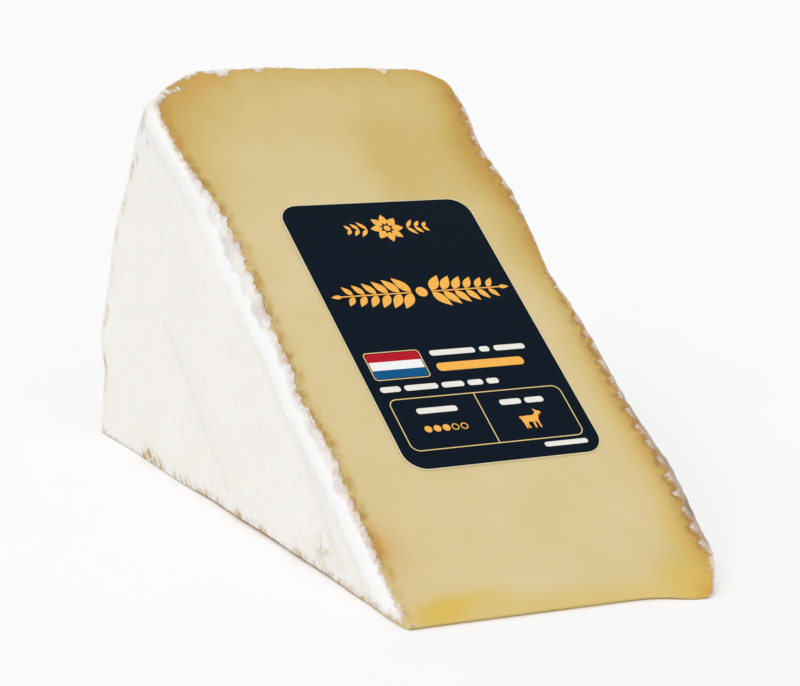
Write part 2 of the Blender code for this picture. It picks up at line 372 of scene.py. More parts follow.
def section_places(radius, turn_share):
    """Give y and z for distances from the sharp corner and shares of the turn from the base to
    the upper cut. Near the front edge the section is squared off by the thin end's face."""
    foot = np.clip((radius - NOSE_REACH) / (NOSE_FOOT - NOSE_REACH), 0.0, 1.0)
    nose_y = NOSE_REACH * math.cos(ANGLE)
    low_y = np.where(foot < 1.0, nose_y + (NOSE_FOOT - nose_y) * foot, radius)
    low_z = NOSE_HEIGHT * (1.0 - foot)
    squared_y = low_y + turn_share * (radius * math.cos(ANGLE) - low_y)
    squared_z = low_z + turn_share * (radius * math.sin(ANGLE) - low_z)
    nose = radius < NOSE_LENGTH
    y = np.where(nose, squared_y, radius * np.cos(ANGLE * turn_share))
    z = np.where(nose, squared_z, radius * np.sin(ANGLE * turn_share))
    return y, z


def wedge_shape():
    """Work out the wedge's surface. Returns its points, faces and the fields that colour it."""
    across, reach = corner_columns()
    on_surface, faces = surface_lattice(len(across), ROWS, LAYERS)
    column, row, layer = np.nonzero(on_surface)

    step = layer / (LAYERS - 1)
    turn_share = step - LAYER_CROWD * np.sin(2.0 * math.pi * step) / (2.0 * math.pi)
    turn_share[row == 0] = 1.0
    row_share = row / (ROWS - 1)
    radius = NOSE_REACH + (reach[column] - NOSE_REACH) * row_share
    plain_x = across[column]
    y, z = section_places(radius, turn_share)

    along = y * math.cos(ANGLE) + z * math.sin(ANGLE)
    depth = np.maximum(y * math.sin(ANGLE) - z * math.cos(ANGLE), 0.0)
    share = plain_x / HALF
    side_reach = np.where(
        share < 0.0, left_reach(y, z, along, depth), right_reach(y, z, along, depth)
    )
    x = share * side_reach
    rim = rim_radius(plain_x, y, z, depth)
    rim += ramp(row_share, RIM_DETAIL_START, 1.0) * rim_detail(plain_x, y, z, depth)
    y = y * rim / WHEEL_RADIUS
    z = z * rim / WHEEL_RADIUS

    bulge = swell(x - TIP_BULGE_SIDE, TIP_BULGE_REACH) * (1.0 - ramp(radius, 0.0, TIP_BULGE_LENGTH))
    past_edge = np.clip((radius - NOSE_REACH) / (NOSE_LENGTH - NOSE_REACH), 0.0, 1.0)
    y -= TIP_BULGE * bulge
    z -= NOSE_HEIGHT * bulge * (1.0 - past_edge) * turn_share

    edge = ramp(np.abs(x), side_reach - EDGE_BAND, side_reach)
    left = side_reach + x
    right = side_reach - x
    edge_rise = np.where(share < 0.0, LEFT_EDGE_RISE, RIGHT_EDGE_RISE)
    relief = cut_relief(x, along, left, right) + edge_rise * edge
    relief *= turn_share**3
    y -= relief * math.sin(ANGLE)
    z += relief * math.cos(ANGLE)

    rim_edge = ramp(radius, WHEEL_RADIUS - EDGE_BAND, WHEEL_RADIUS)
    lower = ramp(np.abs(x), side_reach - LOWER_BAND, side_reach)
    lift = LOWER_EDGE_LIFT * np.maximum(lower, rim_edge)
    lift += np.where(share < 0.0, ARCH_LIFT * lower * swell(y - ARCH_PLACE, ARCH_REACH), 0.0)
    z += lift * (1.0 - turn_share) ** 4

    points = np.stack((x, y, z), axis=-1)
    places = {
        "x": x,
        "y": y,
        "z": z,
        "along": along,
        "depth": depth,
        "left": left,
        "right": right,
        "rim": (reach[column] - radius) * rim / WHEEL_RADIUS,
        "side": (column == 0) | (column == len(across) - 1),
        "outer": row == ROWS - 1,
        "share": share,
    }
    return points, faces, colour_fields(places)


# Where the paste ends along the left of the upper cut: place along, place across
LEFT_BORDER = (
    (0.0, -25.6), (3.0, -25.3), (6.0, -24.8), (11.0, -25.3), (14.0, -24.8), (18.5, -24.9),
    (21.5, -24.2), (24.0, -24.9), (26.6, -24.8), (28.5, -23.9), (34.0, -24.1), (34.8, -25.1),
    (36.0, -24.3), (39.0, -24.7), (41.0, -24.8), (43.8, -23.9), (47.0, -24.4), (50.0, -24.2),
    (50.8, -24.8), (51.6, -24.1), (57.5, -23.6), (62.0, -23.4), (65.4, -24.0), (68.0, -22.9),
    (69.5, -23.5), (76.4, -23.5), (77.5, -24.0), (79.2, -24.0), (79.8, -24.8), (81.2, -24.5),
    (83.0, -25.3), (84.0, -25.0), (86.0, -25.7), (90.0, -25.7), (93.5, -26.0), (96.0, -25.6),
)
RIM_RIND = -0.25
TIP_WRAP = 1.3

# How deep the left rind is torn beside the paste: place along, depth
TORN = ((0.0, 0.4), (8.0, 0.6), (17.0, 1.0), (24.0, 1.4), (34.0, 1.5), (40.0, 1.0), (52.0, 1.3))
TORN += ((58.0, 2.0), (68.0, 2.6), (77.0, 1.7), (85.0, 0.5), (100.0, 0.3))
# How far past the torn band the painted highlight on the lip's ridge runs
RIDGE_HIGHLIGHT_REACH = 3.0

# Where the rind shows at the upper cut's rim edge: place across, half-width, how far it comes in
RIM_PEEKS = (
    (-24.6, 1.6, 0.5), (-18.8, 2.0, 0.5), (-13.2, 1.9, 1.5), (-7.0, 0.9, 0.9), (14.0, 0.7, 1.5),
)

# A streak of rind across the corner, as (across, distance from the rim) pairs, wide at its start
CORNER_STREAK = ((-24.8, 0.3), (-20.4, 2.1))
STREAK_WIDE = 0.85
STREAK_NARROW = 0.15

# Soft stains of the rind on the left: y, z, reach, strength
RIND_STAINS = (
    (97.0, 46.0, 3.0, 0.5), (96.0, 24.0, 2.5, 0.4), (97.0, 6.0, 3.0, 0.35), (77.9, 0.8, 1.7, 0.9),
    (73.6, 0.3, 1.0, 0.5), (47.8, 0.3, 1.2, 0.5), (40.8, 0.3, 1.2, 0.6), (30.0, 0.6, 1.2, 0.5),
    (24.0, 3.0, 2.0, 0.5),
)

# Frays along the rind's lower edge on the left: where each starts along the edge, and its height
FRAYS = ((79.3, 1.8), (76.4, 3.0), (74.9, 2.2), (73.2, 3.0), (71.8, 1.8), (67.9, 2.4), (65.9, 1.8))
FRAYS += ((64.2, 2.6), (62.9, 3.0), (61.0, 1.6), (58.0, 2.0), (46.9, 2.4), (39.9, 2.2), (29.1, 1.6))
FRAY_SLANT = 0.9
FRAY_WIDTH = 0.45

# Small pits of the left rind near the pressed corner, painted as spots of shade, as (y, z), and
# their shape
RIND_PITS = ((82.1, 49.4), (83.4, 48.5), (81.2, 46.8), (85.8, 43.6), (88.7, 40.9))
PIT_REACH = 0.25
PIT_FLATNESS = 0.35


# Soft patches of the upper cut: strength, place and reach across, place and reach along
GOLD_PATCHES = (
    (0.32, 21.0, 7.0, 63.5, 6.5),
    (0.24, 19.0, 6.0, 6.0, 5.0),
    (0.15, -19.0, 4.5, 95.0, 5.0),
)
ORANGE_PATCHES = (
    (0.80, -24.0, 1.3, 14.4, 2.8),
    (0.75, 19.6, 1.9, 1.2, 1.7),
    (0.50, -17.5, 4.2, 98.8, 2.2),
    (0.25, -22.0, 2.6, 13.0, 4.5),
)
YELLOW_PATCHES = (
    (0.50, -13.0, 4.0, 4.2, 1.4),
    (0.80, 19.5, 2.2, 1.6, 1.6),
    (0.55, 16.5, 3.0, 4.2, 2.0),
    (0.30, 20.5, 2.5, 9.0, 6.0),
)
SLANTED_PATCH = (0.90, -18.9, 3.4, 3.0, 1.8)
PATCH_SLANT = 0.1


def patches(x, along, spots):
    """Add up soft oval patches of the upper cut."""
    return sum(
        strength * swell(x - across, wide) * swell(along - place, long)
        for strength, across, wide, place, long in spots
    )


def paste_borders(at):
    """Work out how far each place lies inside the paste, below 0 on the rind: from the nearest of
    the paste's borders, and from the left, the right and the rim's. Also gives the distance from
    the rind between the teeth of the right edge."""
    x, along = at["x"], at["along"]
    flat = np.zeros_like(x)
    jag = 0.22 * noise_at(flat, along, flat, 1.0, 91.0)
    jag += 0.18 * noise_at(flat, along, flat, 2.6, 95.0)
    left = x - np.interp(along, *zip(*LEFT_BORDER)) - jag
    left = np.minimum(left, at["left"] + 0.1)

    width, tooth_reach = right_rind(along)
    right = at["right"] - width - tooth_reach * tooth(along) - 0.4 * jag
    right_gap = np.maximum(at["right"] - width, 0.0)

    rim_rind = RIM_RIND + 0.30 * np.abs(noise_at(x, flat, flat, 1.1, 99.0))
    rough = 1.0 + 0.9 * noise_at(x, along, flat, 0.7, 103.0)
    for place, half_width, inward in RIM_PEEKS:
        rim_rind = np.maximum(rim_rind, inward * rough * swell(x - place, half_width))
    rim = at["rim"] - rim_rind

    border = np.minimum(np.minimum(left, right), rim)
    off_streak, part = off_line(x, at["rim"], *CORNER_STREAK)
    border = np.minimum(border, off_streak - STREAK_WIDE + (STREAK_WIDE - STREAK_NARROW) * part)
    # The paste wraps over the front edge onto the sides' first millimetre
    down = np.minimum(at["depth"], at["z"])
    down -= TIP_WRAP * (1.0 - ramp(along, 0.6, 4.0)) * at["side"]
    border = np.where(at["side"] | at["outer"], border - down, border)
    return border, left, right, rim, right_gap


def paste_fields(at, left, right, rim, right_gap):
    """Work out how gold, orange, yellow and brown the paste is at each place."""
    x, along = at["x"], at["along"]
    flat = np.zeros_like(x)

    # Gold: deeper towards the rim, beside each border, and over the upper right
    high = ramp(along, 70.0, 94.0)
    gold = 0.10 + 0.16 * ramp(along, 66.0, 92.0)
    gold += (0.24 + 0.26 * high) * np.exp(-np.maximum(left, 0.0) / (1.8 + 5.0 * high))
    gold += 0.67 * np.exp(-((right_gap / 3.4) ** 1.6)) * (1.0 - 0.25 * swell(along - 56.0, 7.0))
    gold += 0.42 * np.exp(-np.maximum(rim, 0.0) / 4.0)
    upper = ramp(along, 66.0, 76.0) * (1.0 - 0.8 * ramp(along, 84.0, 95.0))
    gold += 0.38 * upper * ramp(x, -3.0, 8.0)
    gold += patches(x, along, GOLD_PATCHES)
    gold += 0.07 * noise_at(x, along, flat, 9.0, 107.0)
    gold += 0.04 * noise_at(x, along, flat, 3.0, 111.0)
    gold *= ramp(along, 0.0, 2.0) * 0.6 + 0.4

    # Orange: a few patches, and a glow beside the lower teeth of the right edge
    orange = patches(x, along, ORANGE_PATCHES)
    beside_teeth = ramp(along, 46.0, 28.0) * ramp(along, 5.0, 9.0)
    orange += 0.22 * (1.0 - ramp(right_gap, 0.8, 4.5)) * beside_teeth

    # Yellow: along the front edge, and up the right side
    yellow = 0.52 * (1.0 - ramp(along, 1.5, 5.5)) * ramp(x, -25.0, -22.0)
    slanted = along - PATCH_SLANT * (x - SLANTED_PATCH[1])
    yellow += patches(x, slanted, (SLANTED_PATCH,)) + patches(x, along, YELLOW_PATCHES)
    yellow += 0.18 * swell(x - 20.5, 2.2) * ramp(along, 80.0, 20.0)

    # Brown: a soft and a sharp line beside the right rind, and the front's right corner
    high_right = ramp(along, 69.0, 74.0)
    low_right = ramp(along, 56.0, 46.0)
    tan = (0.18 + 0.20 * high_right + 0.28 * low_right) * (1.0 - ramp(right_gap, 0.5, 2.6))
    tan += (0.32 + 0.20 * high_right + 0.44 * low_right) * (1.0 - ramp(right, 0.15, 0.9))
    tan *= ramp(along, 5.0, 9.0)
    tan += 0.5 * (1.0 - ramp(at["right"], 0.0, 0.8)) * (1.0 - ramp(along, 5.0, 9.0))

    # Ochre patches beside the left rind deepen them all
    ochre = ramp(fractal_at(x, along, flat, 1.7, 137.0, 3), -0.25, 0.35)
    by_left = (1.0 - ramp(left, 0.5, 1.9)) * ramp(along, 4.0, 11.0) * (0.35 + 0.95 * ochre)
    tan += 0.30 * by_left * (1.0 - 0.8 * ramp(along, 82.0, 88.0))
    gold += 0.34 * by_left
    orange += 0.25 * by_left * ramp(along, 82.0, 90.0)
    return {"gold": gold, "orange": orange, "yellow": yellow, "tan": tan}


def rind_fields(at):
    """Work out the stains of the rind, the painted shade in its creases and pits, how torn it
    is beside the upper cut, and the painted highlight on the lip's ridge past the torn band."""
    x, along = at["x"], at["along"]
    flat = np.zeros_like(x)
    on_left = at["side"] & (at["share"] < 0.0)

    stain = np.zeros_like(x)
    for y, z, reach, strength in RIND_STAINS:
        stain += strength * swell(np.hypot(at["y"] - y, at["z"] - z), reach) * on_left
    stain += 0.35 * swell(at["z"], 0.5) * ramp(noise_at(x, at["y"], flat, 2.2, 115.0), 0.0, 0.5)
    for y, height in FRAYS:
        fray = swell(at["y"] - y - FRAY_SLANT * at["z"], FRAY_WIDTH)
        stain += 0.8 * fray * (1.0 - ramp(at["z"], 0.3 * height, height)) * on_left
    stain += 0.30 * at["outer"] * ramp(noise_at(x, at["y"], at["z"], 7.0, 119.0), 0.15, 0.6)
    corner = swell(at["rim"], 0.9) * on_left + swell(at["left"], 1.2) * at["outer"]
    stain += 0.35 * corner * ramp(noise_at(flat, at["y"], at["z"], 4.0, 127.0), -0.15, 0.35)

    # Painted shade in the rind's creases, and spots of painted shade for its small pits
    painted_crease_shade = np.zeros_like(x)
    for start, end, half_width, _ in CREASES:
        painted_crease_shade += 0.12 * crease(at["y"], at["z"], start, end, 0.6 * half_width) * on_left
    for y, z in RIND_PITS:
        off_pit = np.hypot(at["y"] - y, (at["z"] - z) * PIT_FLATNESS)
        painted_crease_shade += 0.8 * swell(off_pit, PIT_REACH) * on_left

    torn_depth = np.interp(along, *zip(*TORN))
    past_torn = at["depth"] - torn_depth * (1.0 + 0.5 * noise_at(flat, along, flat, 2.4, 129.0))
    rough = 0.45 + 0.9 * ramp(noise_at(flat, along, flat, 4.5, 133.0), -0.3, 0.5)
    torn = (1.0 - ramp(past_torn, -0.6, 0.4)) * rough
    # A painted highlight on the lip's ridge, where the light from above falls, past the torn band
    painted_ridge_highlight = ramp(past_torn, -0.4, 0.8) * (1.0 - ramp(past_torn, RIDGE_HIGHLIGHT_REACH - 0.6, RIDGE_HIGHLIGHT_REACH + 1.4))
    painted_ridge_highlight *= at["side"] * ramp(along, 1.0, 6.0) * (1.0 - 0.4 * ramp(along, 72.0, 82.0))
    return {"stain": stain, "painted_crease_shade": painted_crease_shade, "torn": torn, "painted_ridge_highlight": painted_ridge_highlight}


def right_rind_fields(at):
    """Work out where the right rind is tinted as its teeth are, and the painted shade along its
    outer edge, which faces away from the light.
    """
    along = at["along"]
    flat = np.zeros_like(along)
    on_right = at["share"] > 0.0
    tooth_tint = on_right * (1.0 - ramp(at["depth"], 0.5, 2.5))
    patchy = 0.75 + 0.5 * noise_at(flat, along, flat, 4.0, 123.0)
    low_down = ramp(along, 36.0, 24.0)
    # Painted shade along the right rind's outer edge, which faces away from the key light
    painted_edge_shade = 1.0 - ramp(at["right"], 0.15 + 0.25 * low_down, 0.75 + 0.45 * low_down)
    painted_edge_shade *= (1.0 - ramp(at["depth"], 0.9, 2.2)) * patchy * on_right
    painted_edge_shade *= ramp(along, 5.0, 9.0) * (0.95 - 0.5 * ramp(along, 30.0, 46.0))
    return {"painted_edge_shade": painted_edge_shade, "tooth_tint": tooth_tint}


def colour_fields(at):
    """Work out the smooth fields that the cheese's material reads, one number a point."""
    border, left, right, rim, right_gap = paste_borders(at)
    fields = {"border": border}
    fields.update(paste_fields(at, left, right, rim, right_gap))
    fields.update(rind_fields(at))
    fields.update(right_rind_fields(at))
    return fields


def apex():
    """Give the place of the wheel frame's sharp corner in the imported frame, in metres."""
    low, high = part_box("cheese_wedge")
    return ((low.x + high.x) / 2 + APEX_SIDE * MM, low.y + APEX_BEHIND_LOW * MM, low.z)


def new_piece(name, mesh, slot, *replaced):
    """Put a mesh in the scene as a piece of the part, in place of the nodes it replaces."""
    piece = bpy.data.objects.new(name, mesh)
    bpy.context.scene.collection.objects.link(piece)
    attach(piece, "root")
    if replaced:
        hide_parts(*replaced)


class Recipe:
    """Builds a material's nodes, one call a node. Lengths in its textures are millimetres."""

    def __init__(self, name):
        self.material = bpy.data.materials.new(name)
        self.material.use_nodes = True
        self.nodes = self.material.node_tree.nodes
        self.links = self.material.node_tree.links
        self.shader = self.nodes["Principled BSDF"]

    def put(self, socket, value):
        """Link a node's output to a socket, or set the socket to a plain value."""
        if isinstance(value, bpy.types.NodeSocket):
            self.links.new(value, socket)
        else:
            socket.default_value = value

    def set(self, **values):
        """Set the shader's sockets, named with underscores for spaces."""
        for name, value in values.items():
            self.put(self.shader.inputs[name.replace("_", " ")], value)

    def math(self, operation, a, b):
        node = self.nodes.new("ShaderNodeMath")
        node.operation = operation
        self.put(node.inputs[0], a)
        self.put(node.inputs[1], b)
        return node.outputs[0]

    def times(self, a, b):
        return self.math("MULTIPLY", a, b)

    def plus(self, a, b):
        return self.math("ADD", a, b)

    def fade(self, value, start, end, low=0.0, high=1.0):
        """Go from low at the start to high at the end, with a smooth slope between."""
        node = self.nodes.new("ShaderNodeMapRange")
        node.interpolation_type = "SMOOTHSTEP"
        self.put(node.inputs["Value"], value)
        node.inputs["From Min"].default_value = start
        node.inputs["From Max"].default_value = end
        node.inputs["To Min"].default_value = low
        node.inputs["To Max"].default_value = high
        return node.outputs[0]

    def place(self):
        """Give the place on the piece in millimetres."""
        coordinates = self.nodes.new("ShaderNodeTexCoord")
        scaled = self.nodes.new("ShaderNodeVectorMath")
        scaled.operation = "SCALE"
        self.put(scaled.inputs[0], coordinates.outputs["Object"])
        scaled.inputs["Scale"].default_value = 1.0 / MM
        return scaled.outputs[0]

    def turned(self, vector, angle):
        """Turn a vector about X."""
        node = self.nodes.new("ShaderNodeVectorRotate")
        node.rotation_type = "X_AXIS"
        self.put(node.inputs["Vector"], vector)
        node.inputs["Angle"].default_value = angle
        return node.outputs[0]

    def stretched(self, vector, sizes):
        """Divide a vector by a size in each direction."""
        node = self.nodes.new("ShaderNodeVectorMath")
        node.operation = "DIVIDE"
        self.put(node.inputs[0], vector)
        node.inputs[1].default_value = sizes
        return node.outputs[0]

    def noise(self, vector, size, detail=2.0, roughness=0.5):
        """Give noise from 0 to 1, mostly near a half."""
        node = self.nodes.new("ShaderNodeTexNoise")
        self.put(node.inputs["Vector"], vector)
        node.inputs["Scale"].default_value = 1.0 / size
        node.inputs["Detail"].default_value = detail
        node.inputs["Roughness"].default_value = roughness
        return node.outputs["Fac"]

    def around(self, value, spread):
        """Turn noise from 0 to 1 into a number from -spread to spread."""
        return self.times(self.math("SUBTRACT", value, 0.5), 2.0 * spread)

    def field(self, name):
        """Read one of the numbers that the mesh keeps at its points."""
        node = self.nodes.new("ShaderNodeAttribute")
        node.attribute_name = name
        return node.outputs["Fac"]

    def mix(self, share, a, b):
        """Mix two colours."""
        node = self.nodes.new("ShaderNodeMix")
        node.data_type = "RGBA"
        self.put(node.inputs["Factor"], share)
        self.put(node.inputs[6], a)
        self.put(node.inputs[7], b)
        return node.outputs[2]

    def blend(self, share, low, high):
        """Mix two numbers."""
        node = self.nodes.new("ShaderNodeMix")
        self.put(node.inputs["Factor"], share)
        self.put(node.inputs[2], low)
        self.put(node.inputs[3], high)
        return node.outputs[0]

    def gradient(self, value, stops):
        """Give a colour from a row of (position, colour) stops."""
        node = self.nodes.new("ShaderNodeValToRGB")
        self.put(node.inputs["Fac"], value)
        elements = node.color_ramp.elements
        while len(elements) < len(stops):
            elements.new(1.0)
        for element, (position, colour) in zip(elements, stops):
            element.position = position
            element.color = colour
        return node.outputs["Color"]

    def relief(self, height):
        """Use a height in millimetres as the surface's fine relief."""
        node = self.nodes.new("ShaderNodeBump")
        node.inputs["Strength"].default_value = 1.0
        node.inputs["Distance"].default_value = MM
        self.put(node.inputs["Height"], height)
        self.put(self.shader.inputs["Normal"], node.outputs["Normal"])


def screen(red, green, blue):
    """Turn a colour as a screen shows it, 0 to 255, into the renderer's."""
    made = []
    for value in (red, green, blue):
        value /= 255.0
        made.append(value / 12.92 if value <= 0.04045 else ((value + 0.055) / 1.055) ** 2.4)
    return (*made, 1.0)


PASTE_PALE = screen(217, 199, 153)
PASTE_MIDDLE = screen(210, 188, 128)
PASTE_GOLD = screen(200, 169, 92)
PASTE_DEEP = screen(192, 154, 72)
PASTE_YELLOW = screen(215, 184, 86)
PASTE_ORANGE = screen(206, 152, 70)
PASTE_BROWN = screen(170, 130, 68)
PASTE_DARK = screen(175, 126, 60)
RIND_WHITE = screen(240, 239, 236)
RIND_WARM = screen(236, 233, 227)
# Painted highlight on the lip's ridge
RIND_RIDGE_HIGHLIGHT = screen(246, 246, 246)
RIND_EDGE = screen(212, 192, 174)
RIND_TOOTH = screen(222, 206, 188)
# Greyer rind: the tone of its streaks, and in the torn band partly painted shade in the hollows
# between its fibres
RIND_GREY_AND_SHADE = screen(222, 216, 213)
RIND_FIBRE = screen(206, 186, 172)
# Painted shade in creases and pits
RIND_CREASE_SHADE = screen(170, 160, 162)
RIND_STAIN = screen(188, 164, 116)
# Painted shade on the right rind's outer edge
RIND_EDGE_SHADE = screen(142, 124, 112)


def cheese_material():
    """Make the paste and the rind, told apart by the distance to the border between them."""
    r = Recipe("cheese")
    place = r.place()
    cut = r.turned(place, -ANGLE)
    border = r.field("border")

    ragged = r.around(r.noise(cut, 0.9, 2.0, 0.6), 0.8)
    ragged = r.plus(ragged, r.around(r.noise(place, 0.35, 2.0, 0.6), 0.25))
    ragged = r.times(ragged, r.fade(r.field("tooth_tint"), 0.0, 1.0, 1.4, 0.7))
    edge = r.plus(border, ragged)
    is_paste = r.fade(edge, -0.3, 0.25)

    gold = r.field("gold")
    gold = r.plus(gold, r.around(r.noise(place, 6.0, 3.0), 0.10))
    gold = r.plus(gold, r.around(r.noise(place, 1.2, 3.0, 0.6), 0.05))
    paste = r.gradient(
        gold,
        ((0.0, PASTE_PALE), (0.36, PASTE_MIDDLE), (0.74, PASTE_GOLD), (1.0, PASTE_DEEP)),
    )
    paste = r.mix(r.field("yellow"), paste, PASTE_YELLOW)
    paste = r.mix(r.field("orange"), paste, PASTE_ORANGE)
    patchy = r.noise(cut, 1.1, 3.0, 0.6)
    tan = r.times(r.field("tan"), r.fade(patchy, 0.38, 0.62, 0.35, 1.5))
    paste = r.mix(tan, paste, PASTE_BROWN)
    specks = r.noise(cut, 0.6, 3.0, 0.6)
    beside = r.times(r.fade(edge, 0.8, 0.1), r.fade(edge, -0.6, 0.0))
    beside = r.times(beside, r.fade(r.field("tan"), 0.0, 0.35))
    dark = r.times(beside, r.fade(specks, 0.45, 0.62, 0.0, 0.6))

    rind = r.mix(r.noise(place, 9.0, 3.0), RIND_WHITE, RIND_WARM)
    streaks = r.noise(r.stretched(place, (0.5, 0.45, 2.2)), 1.0, 3.0, 0.6)
    rind = r.mix(r.fade(streaks, 0.5, 0.75, 0.0, 0.35), rind, RIND_GREY_AND_SHADE)
    # Painted highlight on the lip's ridge beside the torn band
    rind = r.mix(r.field("painted_ridge_highlight"), rind, RIND_RIDGE_HIGHLIGHT)
    fibre = r.noise(r.stretched(place, (0.9, 0.6, 1.6)), 1.0, 3.0, 0.65)
    torn = r.field("torn")
    # The torn band turns greyer where its raised fibres are low: partly the torn rind's tone,
    # partly painted shade in the hollows
    rind = r.mix(r.times(torn, r.fade(fibre, 0.35, 0.6, 1.0, 0.15)), rind, RIND_GREY_AND_SHADE)
    rind = r.mix(r.times(r.times(torn, 0.5), r.fade(fibre, 0.55, 0.7)), rind, RIND_FIBRE)
    by_paste = r.times(r.fade(edge, -1.5, -0.15), r.fade(patchy, 0.4, 0.6, 1.0, 0.3))
    rind = r.mix(by_paste, rind, RIND_EDGE)
    rind = r.mix(r.field("tooth_tint"), rind, RIND_TOOTH)
    # Painted shade in the rind's creases and pits
    rind = r.mix(r.field("painted_crease_shade"), rind, RIND_CREASE_SHADE)
    speckle = r.noise(place, 1.1, 4.0, 0.65)
    rind = r.mix(r.times(r.field("stain"), r.fade(speckle, 0.38, 0.58)), rind, RIND_STAIN)
    # Painted shade along the right rind's outer edge
    rind = r.mix(r.field("painted_edge_shade"), rind, RIND_EDGE_SHADE)

    r.set(Base_Color=r.mix(dark, r.mix(is_paste, rind, paste), PASTE_DARK))
    r.set(Roughness=r.blend(is_paste, 0.95, r.fade(r.noise(cut, 2.0, 3.0), 0.3, 0.7, 0.36, 0.5)))
    r.set(Specular_IOR_Level=0.3, Subsurface_Weight=0.25, Subsurface_Scale=0.002)
    r.set(Subsurface_Radius=(1.0, 0.7, 0.4))

    paste_height = r.plus(
        r.times(r.noise(cut, 0.5, 3.0, 0.6), 0.012), r.times(r.noise(cut, 2.2, 2.0), 0.05)
    )
    rind_height = r.plus(r.times(r.noise(place, 0.35, 4.0, 0.65), 0.03), r.times(streaks, 0.12))
    rind_height = r.plus(rind_height, r.times(r.times(fibre, torn), 0.4))
    height = r.blend(is_paste, rind_height, paste_height)
    r.relief(r.plus(height, r.times(r.times(specks, r.fade(edge, 0.8, 0.0)), 0.12)))
    return r.material


def make_wedge(material):
    """Make the wedge, with its colour fields as numbers at the mesh's points."""
    points, faces, fields = wedge_shape()
    mesh = bpy.data.meshes.new("brie_wedge")
    mesh.from_pydata((points * MM + np.array(apex())).tolist(), [], faces)
    mesh.polygons.foreach_set("use_smooth", [True] * len(mesh.polygons))
    for name, values in fields.items():
        made = mesh.attributes.new(name, "FLOAT", "POINT")
        made.data.foreach_set("value", values.astype(np.float32))
    mesh.materials.append(material)
    mesh.validate()
    new_piece("brie_wedge", mesh, "cheese", "cheese_wedge")


# The label's layers, as heights over the cut's plane
STICKER_LOW = 0.04
STICKER_HIGH = 0.15
FIELD_HIGH = 0.165
INK_LOW = 0.16
INK_HIGH = 0.18
OVERLAP = 0.01
STICKER_RIM = 0.13

STICKER_EDGE = screen(236, 224, 184)
INKS = {
    "navy": screen(2, 17, 32),
    "gold": screen(250, 184, 84),
    "pale": screen(238, 236, 228),
    "line": screen(236, 208, 142),
    "red": screen(184, 22, 38),
    "blue": screen(10, 88, 138),
    "white": screen(246, 246, 246),
}

# The printed shapes, from the label's left and upper edges. Boxes: left, top, right, bottom
ROSETTE_PLACE = (15.7, 5.3)
ROSETTE_RADIUS = 2.6
GARLAND_ENDS = (3.1, 28.4)
GARLAND_TOP = 17.7
GARLAND_HEIGHT = 5.6
FLAG = (1.7, 28.0, 10.4, 32.95)
FLAG_CORNER = 0.6
FLAG_LINE = 0.14
FLAG_STRIPES = ("blue", "white", "red")
BOX = (1.9, 36.3, 29.0, 45.3)
BOX_CORNER = 1.3
BOX_LINE = 0.15
BOX_DIVIDE = 15.3
DOTS_PLACE = (5.8, 41.8)
DOT_PITCH = 1.39
DOT_RADIUS = 0.56
DOT_HOLE = 0.40
DOTS = 5
FULL_DOTS = 3
GOAT_FOOT = (20.2, 43.3)
GOAT_SIZE = (3.3, 3.0)

# Rows of dashes: ink, left, top, height, how long each is, the gap between
DASHES = (
    ("pale", 11.9, 28.4, 0.95, (7.2, 1.6, 5.0), 0.75),
    ("gold", 11.9, 30.7, 1.45, (13.9,), 0.0),
    ("pale", 1.7, 34.1, 0.95, (3.1, 5.2, 3.5, 2.4, 1.9), 0.6),
    ("pale", 5.4, 38.2, 0.95, (6.3,), 0.0),
    ("pale", 18.5, 38.0, 0.95, (3.4, 3.0), 0.6),
    ("pale", 21.9, 45.9, 0.8, (6.9,), 0.0),
)

# A small standing goat, clockwise, in shares of its size
GOAT = (
    (0.00, 0.62), (0.06, 0.74), (0.16, 0.70), (0.40, 0.73), (0.66, 0.72), (0.80, 0.80),
    (0.86, 0.95), (0.80, 1.06), (0.84, 1.08), (0.94, 0.99), (1.06, 0.94), (1.14, 0.86),
    (1.12, 0.80), (1.04, 0.80), (1.03, 0.70), (0.98, 0.78), (0.94, 0.66), (0.86, 0.48),
    (0.84, 0.30), (0.86, 0.00), (0.78, 0.00), (0.75, 0.28), (0.70, 0.38), (0.64, 0.36),
    (0.62, 0.00), (0.54, 0.00), (0.54, 0.36), (0.36, 0.36), (0.30, 0.26), (0.34, 0.00),
    (0.26, 0.00), (0.20, 0.26), (0.20, 0.00), (0.12, 0.00), (0.11, 0.30), (0.07, 0.46),
    (0.06, 0.60),
)


def ink(name, colour):
    """Make a printed ink: its colour, with the faint grain of the sticker's film."""
    r = Recipe(name)
    place = r.place()
    grain = r.noise(place, 0.25, 3.0)
    darker = tuple(part * 0.82 for part in colour[:3]) + (1.0,)
    r.set(Base_Color=r.mix(r.fade(grain, 0.35, 0.75), colour, darker))
    r.set(Roughness=r.fade(grain, 0.3, 0.7, 0.5, 0.6))
    r.set(Specular_IOR_Level=0.06)
    r.relief(r.times(r.noise(place, 0.6, 2.0), 0.004))
    return r.material


def label_matrix():
    """Give the matrix from the label's own plane, in millimetres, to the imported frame.
    Its X runs across from the label's left edge, its Y up from the edge near the tip."""
    return (
        Matrix.Translation(apex())
        @ Matrix.Rotation(ANGLE, 4, "X")
        @ Matrix.Scale(MM, 4)
        @ Matrix.Translation((LABEL_SIDE, LABEL_ALONG, 0.0))
        @ Matrix.Rotation(LABEL_TURN, 4, "Z")
        @ Matrix.Translation((-LABEL_WIDTH / 2, -LABEL_LENGTH / 2, 0.0))
    )


def arc(centre, radius, start, end, steps):
    """List points on an arc, with its angles in degrees."""
    turns = np.radians(np.linspace(start, end, steps + 1))
    return [(centre[0] + radius * math.cos(t), centre[1] + radius * math.sin(t)) for t in turns]


def circle(centre, radius, sides=24):
    """List the outline of a circle, anticlockwise."""
    return arc(centre, radius, 0, 360 - 360 / sides, sides - 1)


